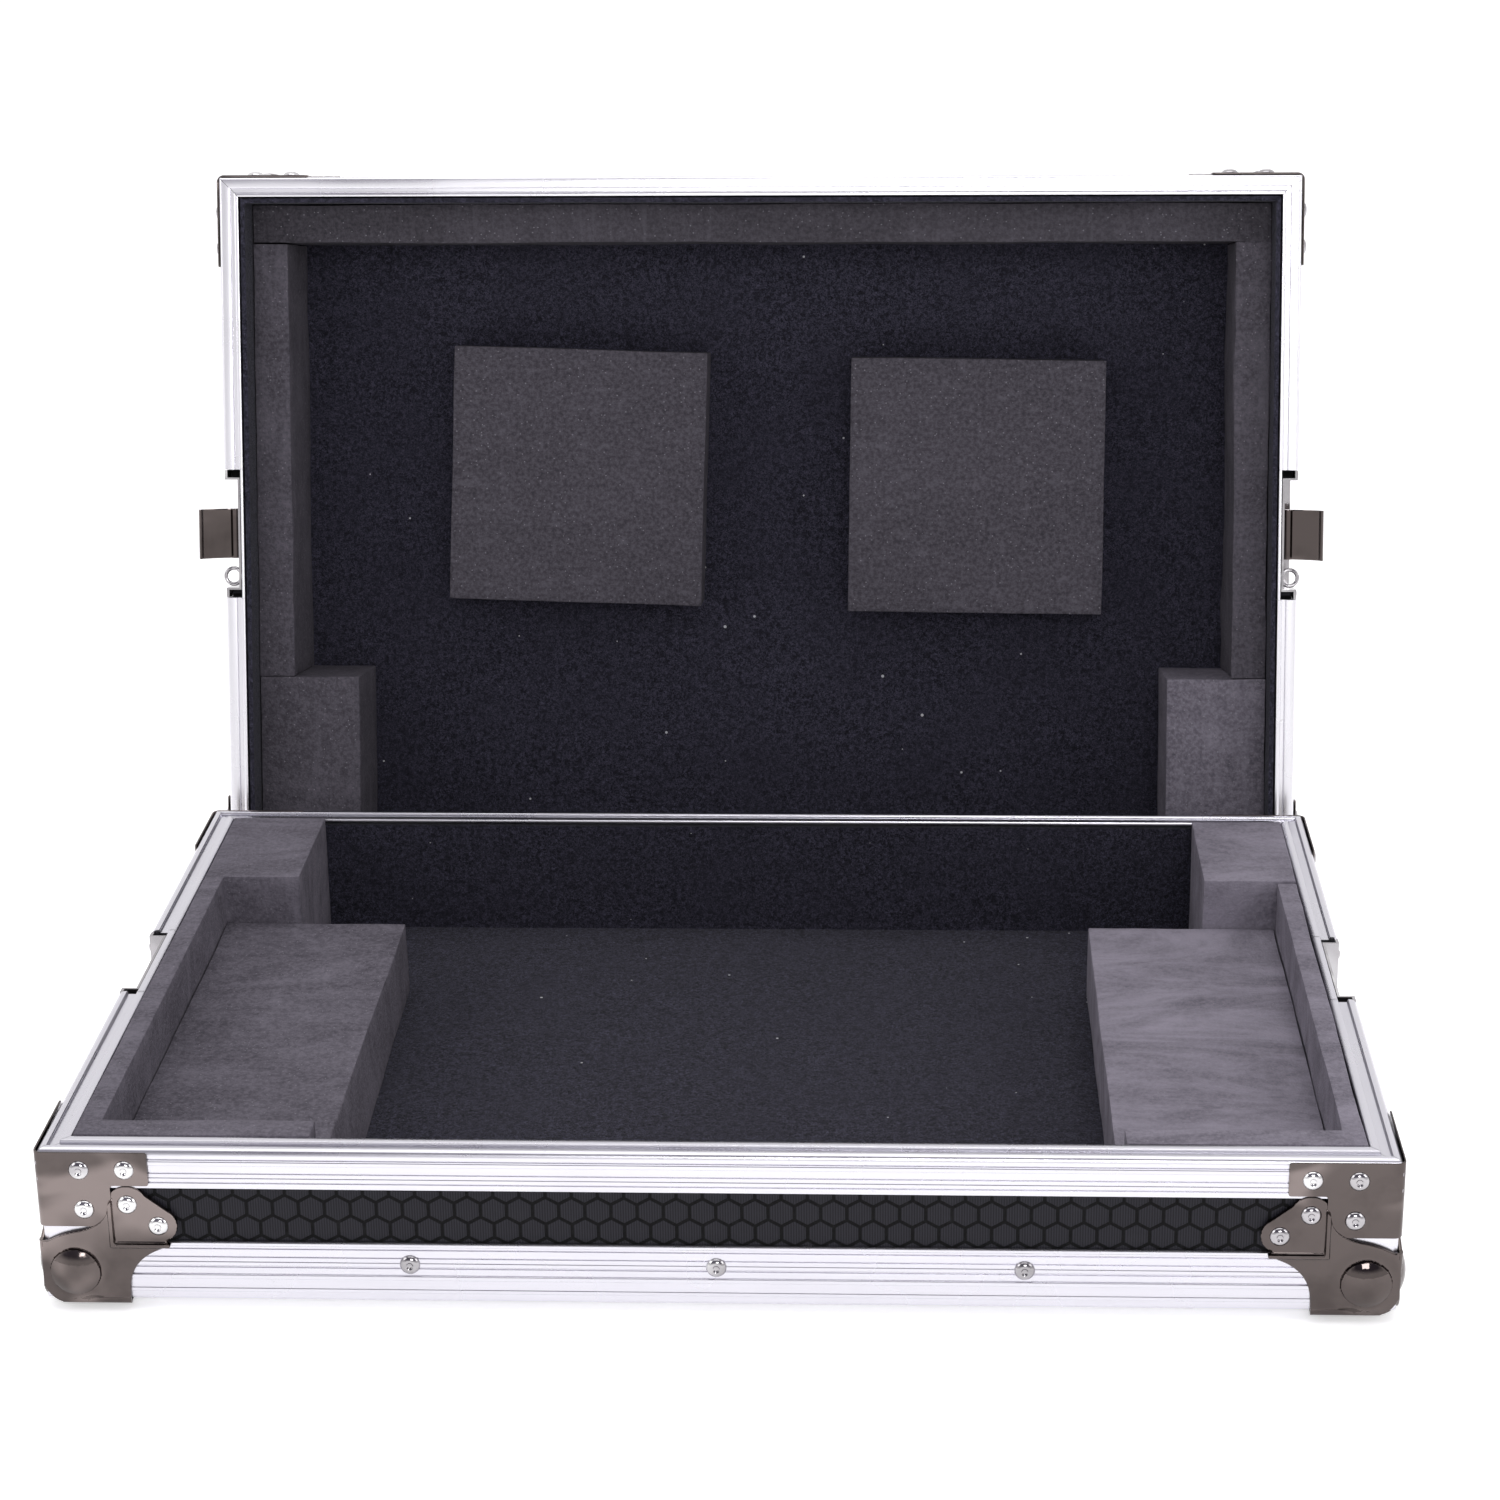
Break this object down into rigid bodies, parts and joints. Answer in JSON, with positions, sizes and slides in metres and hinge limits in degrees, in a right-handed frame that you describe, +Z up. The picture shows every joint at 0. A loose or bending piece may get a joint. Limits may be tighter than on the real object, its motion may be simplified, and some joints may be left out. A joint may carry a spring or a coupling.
{
  "type": "flight case",
  "caption": "Open flight case with a shallow tray, a lift-off lid leaning behind it, metal edge rails, ball corners, side latches, felt lining and foam blocks.",
  "frame": {"origin": "centre of the bounding box's underside as the case stands open, on the floor that its ball corners rest on", "axes": "+X to the right along the case's long side, +Y from the front of the base towards the lid behind it, +Z up"},
  "size_m": [0.6414, 0.6242, 0.4188],
  "materials": {
    "extrusion": "satin, finely ribbed along its length",
    "hardware": "polished chrome plate",
    "laminate": "plywood faced with a black laminate, embossed with a honeycomb",
    "felt": "black needle felt",
    "foam": "dark grey closed-cell foam",
    "handle": "black dish and grip"
  },
  "bodies": {
    "base": {"base_ball_corner_front_left": "hardware", "base_ball_corner_front_right": "hardware", "base_ball_corner_rear_left": "hardware", "base_ball_corner_rear_right": "hardware", "base_brace_front_left": "hardware", "base_brace_front_right": "hardware", "base_brace_rear_left": "hardware", "base_brace_rear_right": "hardware", "base_edge_frame": "extrusion", "base_floor_panel": "laminate", "base_foam_left_slab": "foam", "base_foam_left_surround": "foam", "base_foam_right_block": "foam", "base_foam_right_slab": "foam", "base_foam_right_surround": "foam", "base_front_panel": "laminate", "base_left_panel": "laminate", "base_lining": "felt", "base_rear_panel": "laminate", "base_right_panel": "laminate", "base_rim_front": "extrusion", "base_rim_left": "extrusion", "base_rim_rear": "extrusion", "base_rim_right": "extrusion", "keeper_dish_left": "hardware", "keeper_dish_right": "hardware"},
    "lid": {"handle_dish": "handle", "latch_dish_left": "hardware", "latch_dish_right": "hardware", "lid_ball_corner_front_left": "hardware", "lid_ball_corner_front_right": "hardware", "lid_ball_corner_rear_left": "hardware", "lid_ball_corner_rear_right": "hardware", "lid_brace_front_left": "hardware", "lid_brace_front_right": "hardware", "lid_brace_rear_left": "hardware", "lid_brace_rear_right": "hardware", "lid_edge_frame": "extrusion", "lid_foam_left_block": "foam", "lid_foam_left_pad": "foam", "lid_foam_left_strip": "foam", "lid_foam_right_block": "foam", "lid_foam_right_pad": "foam", "lid_foam_right_strip": "foam", "lid_foam_top_strip": "foam", "lid_front_panel": "laminate", "lid_left_panel": "laminate", "lid_lining": "felt", "lid_rear_panel": "laminate", "lid_right_panel": "laminate", "lid_rim_front": "extrusion", "lid_rim_left": "extrusion", "lid_rim_rear": "extrusion", "lid_rim_right": "extrusion", "lid_top_panel": "laminate"},
    "latch_hook_left": {"latch_hook_left": "hardware"},
    "latch_hook_right": {"latch_hook_right": "hardware"},
    "latch_wing_left": {"latch_wing_left": "hardware"},
    "latch_wing_right": {"latch_wing_right": "hardware"},
    "handle_grip": {"handle_grip": "handle"}
  },
  "joints": [
    {"name": "lid_swing", "type": "hinge", "parent": "base", "child": "lid", "pos_m": [0, 0.08845, 0.04202], "axis": [1, 0, 0], "range_deg": [0, 103.5]},
    {"name": "hook_left_flip", "type": "hinge", "parent": "lid", "child": "latch_hook_left", "pos_m": [-0.301, 0.17785, 0.21955], "axis": [0, -0.2334, -0.9724], "range_deg": [-60, 0]},
    {"name": "hook_right_flip", "type": "hinge", "parent": "lid", "child": "latch_hook_right", "pos_m": [0.301, 0.17785, 0.21955], "axis": [0, -0.2334, -0.9724], "range_deg": [0, 60]},
    {"name": "wing_left_turn", "type": "hinge", "parent": "lid", "child": "latch_wing_left", "pos_m": [-0.303, 0.19438, 0.21559], "axis": [-1, 0, 0], "range_deg": [0, 180]},
    {"name": "wing_right_turn", "type": "hinge", "parent": "lid", "child": "latch_wing_right", "pos_m": [0.303, 0.19438, 0.21559], "axis": [1, 0, 0], "range_deg": [0, 180]},
    {"name": "handle_lift", "type": "hinge", "parent": "lid", "child": "handle_grip", "pos_m": [0, 0.26748, 0.40012], "axis": [-1, 0, 0], "range_deg": [0, 90], "stiffness_Nm_per_rad": 0.05}
  ]
}
